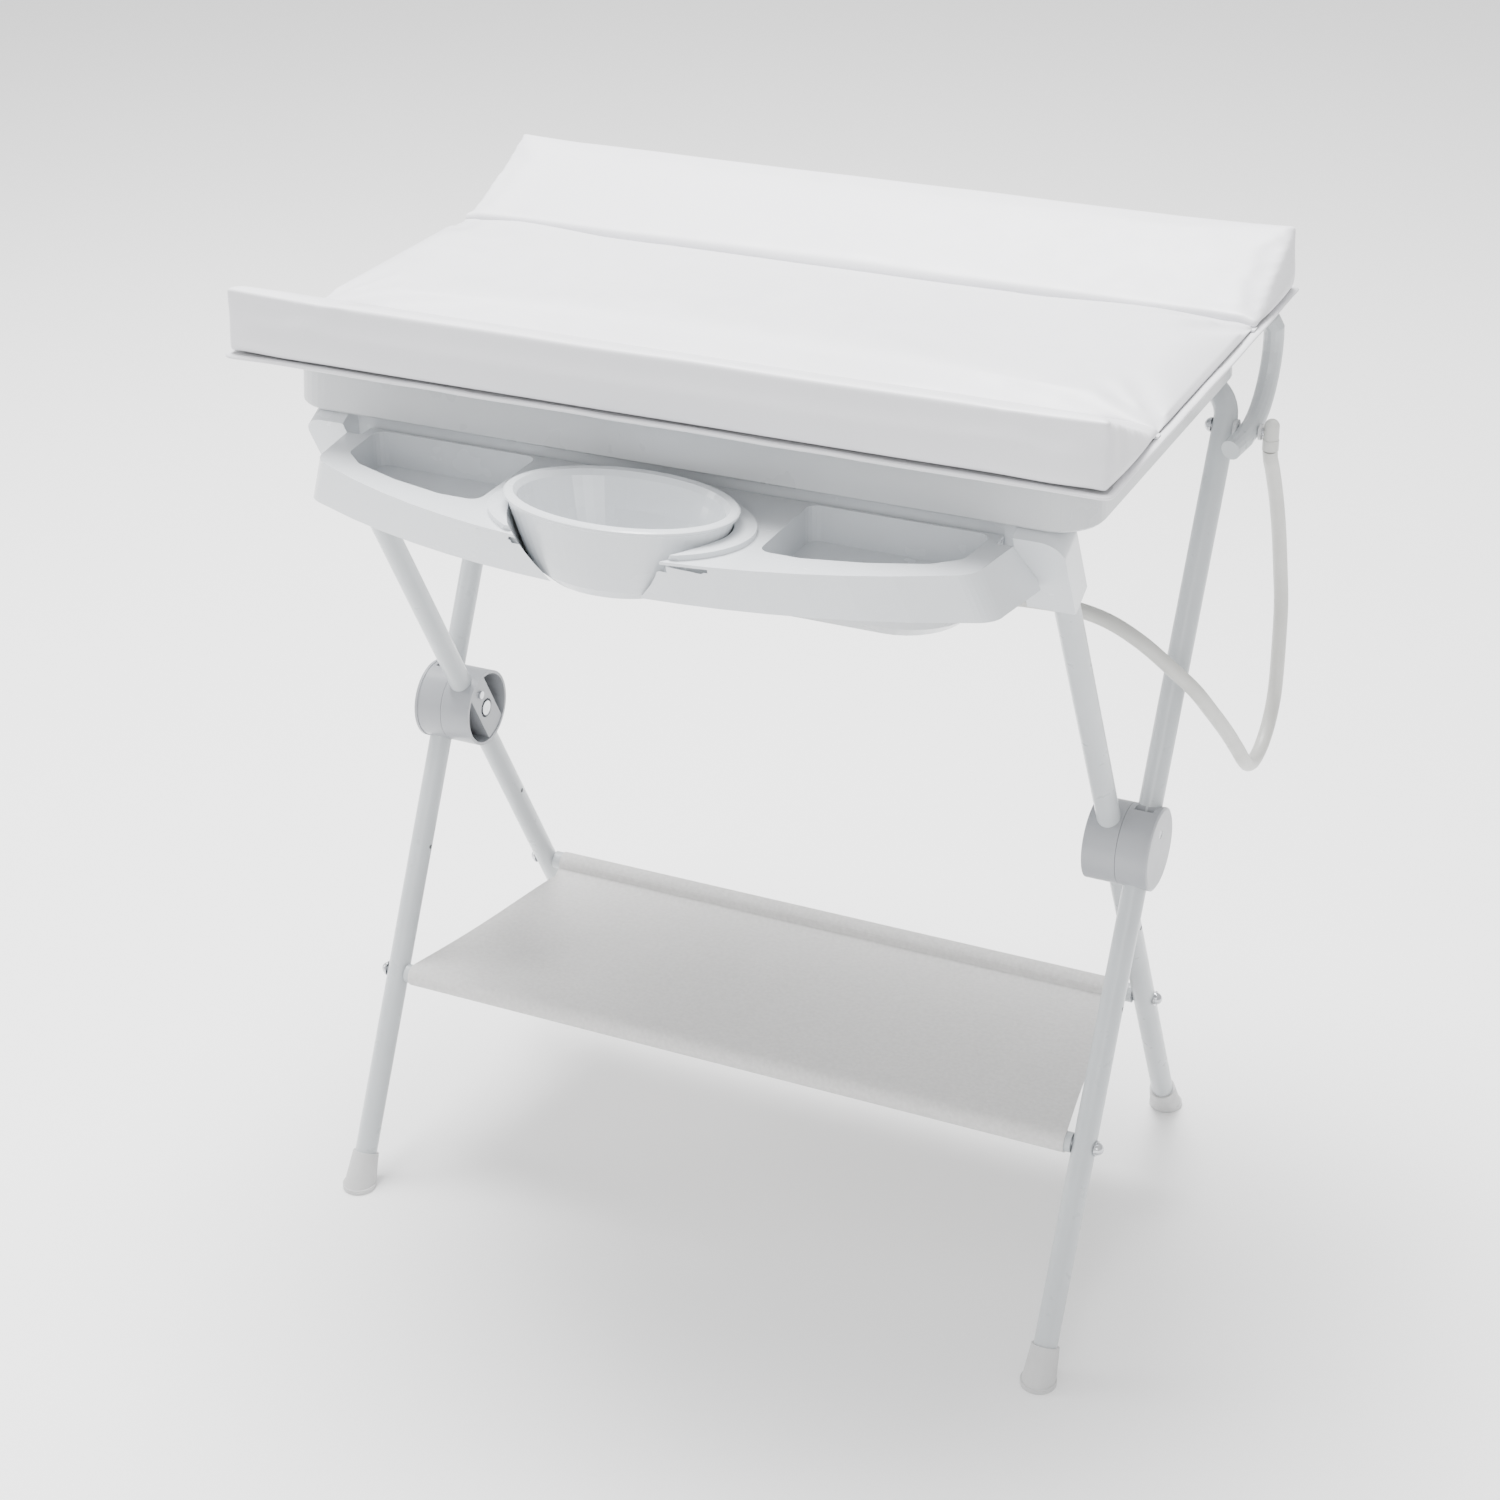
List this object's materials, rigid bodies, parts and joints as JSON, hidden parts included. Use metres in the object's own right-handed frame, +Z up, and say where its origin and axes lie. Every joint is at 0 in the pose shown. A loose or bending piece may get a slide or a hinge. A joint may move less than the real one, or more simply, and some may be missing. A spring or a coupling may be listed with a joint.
{
  "type": "changing table",
  "caption": "Folding baby changing table with a padded tilting top over a bath tub, an organizer tray with a lift-out cup, a drain hose and a cloth shelf.",
  "frame": {"origin": "on the floor below the middle of the table, the drain hose left out", "axes": "+Z up, +X to the table's right, -Y towards the front where the tray is"},
  "size_m": [0.8339, 0.6405, 0.9605],
  "materials": {
    "powder_coat": "gloss",
    "tub_plastic": "gloss",
    "tray_plastic": "gloss",
    "hub_plastic": "satin",
    "clip_plastic": "satin",
    "soft_rubber": "matte",
    "hose_vinyl": "satin",
    "pad_vinyl": "satin",
    "board_white": "satin",
    "shelf_cloth": "matte",
    "zinc": "polished"
  },
  "bodies": {
    "stand": {"outer_leg_left": "powder_coat", "outer_leg_right": "powder_coat", "outer_top_bar": "powder_coat", "front_shelf_bar": "powder_coat", "front_feet": "soft_rubber", "front_bar_nuts": "zinc", "hub_outer_left": "hub_plastic", "hub_outer_right": "hub_plastic", "hub_caps": "hub_plastic", "hub_cap_screws": "zinc", "hub_bolts": "zinc", "pad_pivot_bolts": "zinc", "pad_pivot_washers": "clip_plastic", "tub": "tub_plastic", "tub_feet": "clip_plastic", "rim_bumpers": "soft_rubber", "drain_fitting": "clip_plastic", "drain_gasket": "soft_rubber", "drain_hose": "hose_vinyl", "hose_plug": "hose_vinyl", "tray": "tray_plastic", "front_rail": "tray_plastic", "leg_socket_left": "tray_plastic", "leg_socket_right": "tray_plastic", "shelf": "shelf_cloth"},
    "inner_frame": {"inner_leg_left": "powder_coat", "inner_leg_right": "powder_coat", "inner_leg_caps": "soft_rubber", "rear_shelf_bar": "powder_coat", "rear_feet": "soft_rubber", "rear_bar_nuts": "zinc", "hub_inner_left": "hub_plastic", "hub_inner_right": "hub_plastic", "hub_web_screws": "zinc"},
    "pad_unit": {"pad_cushion": "pad_vinyl", "pad_wedge_front": "pad_vinyl", "pad_wedge_rear": "pad_vinyl", "pad_board": "board_white", "pad_arm_left": "powder_coat", "pad_arm_right": "powder_coat", "pad_support_bar": "powder_coat", "pad_clips": "clip_plastic"},
    "cup_body": {"soap_cup": "tray_plastic"},
    "plug_body": {"drain_plug": "soft_rubber"}
  },
  "joints": [
    {"name": "frame_fold", "type": "hinge", "parent": "stand", "child": "inner_frame", "pos_m": [0, 0.048, 0.45], "axis": [-1, 0, 0], "range_deg": [0, 46], "deforming": ["shelf", "drain_hose"]},
    {"name": "pad_tilt", "type": "hinge", "parent": "stand", "child": "pad_unit", "pos_m": [0, 0.22525, 0.79548], "axis": [-1, 0, 0], "range_deg": [0, 95]},
    {"name": "cup_lift", "type": "slide", "parent": "stand", "child": "cup_body", "axis": [0, -0.6, 0.8], "range_m": [0, 0.09]},
    {"name": "plug_lift", "type": "slide", "parent": "stand", "child": "plug_body", "axis": [0, 0, 1], "range_m": [0, 0.06]}
  ]
}
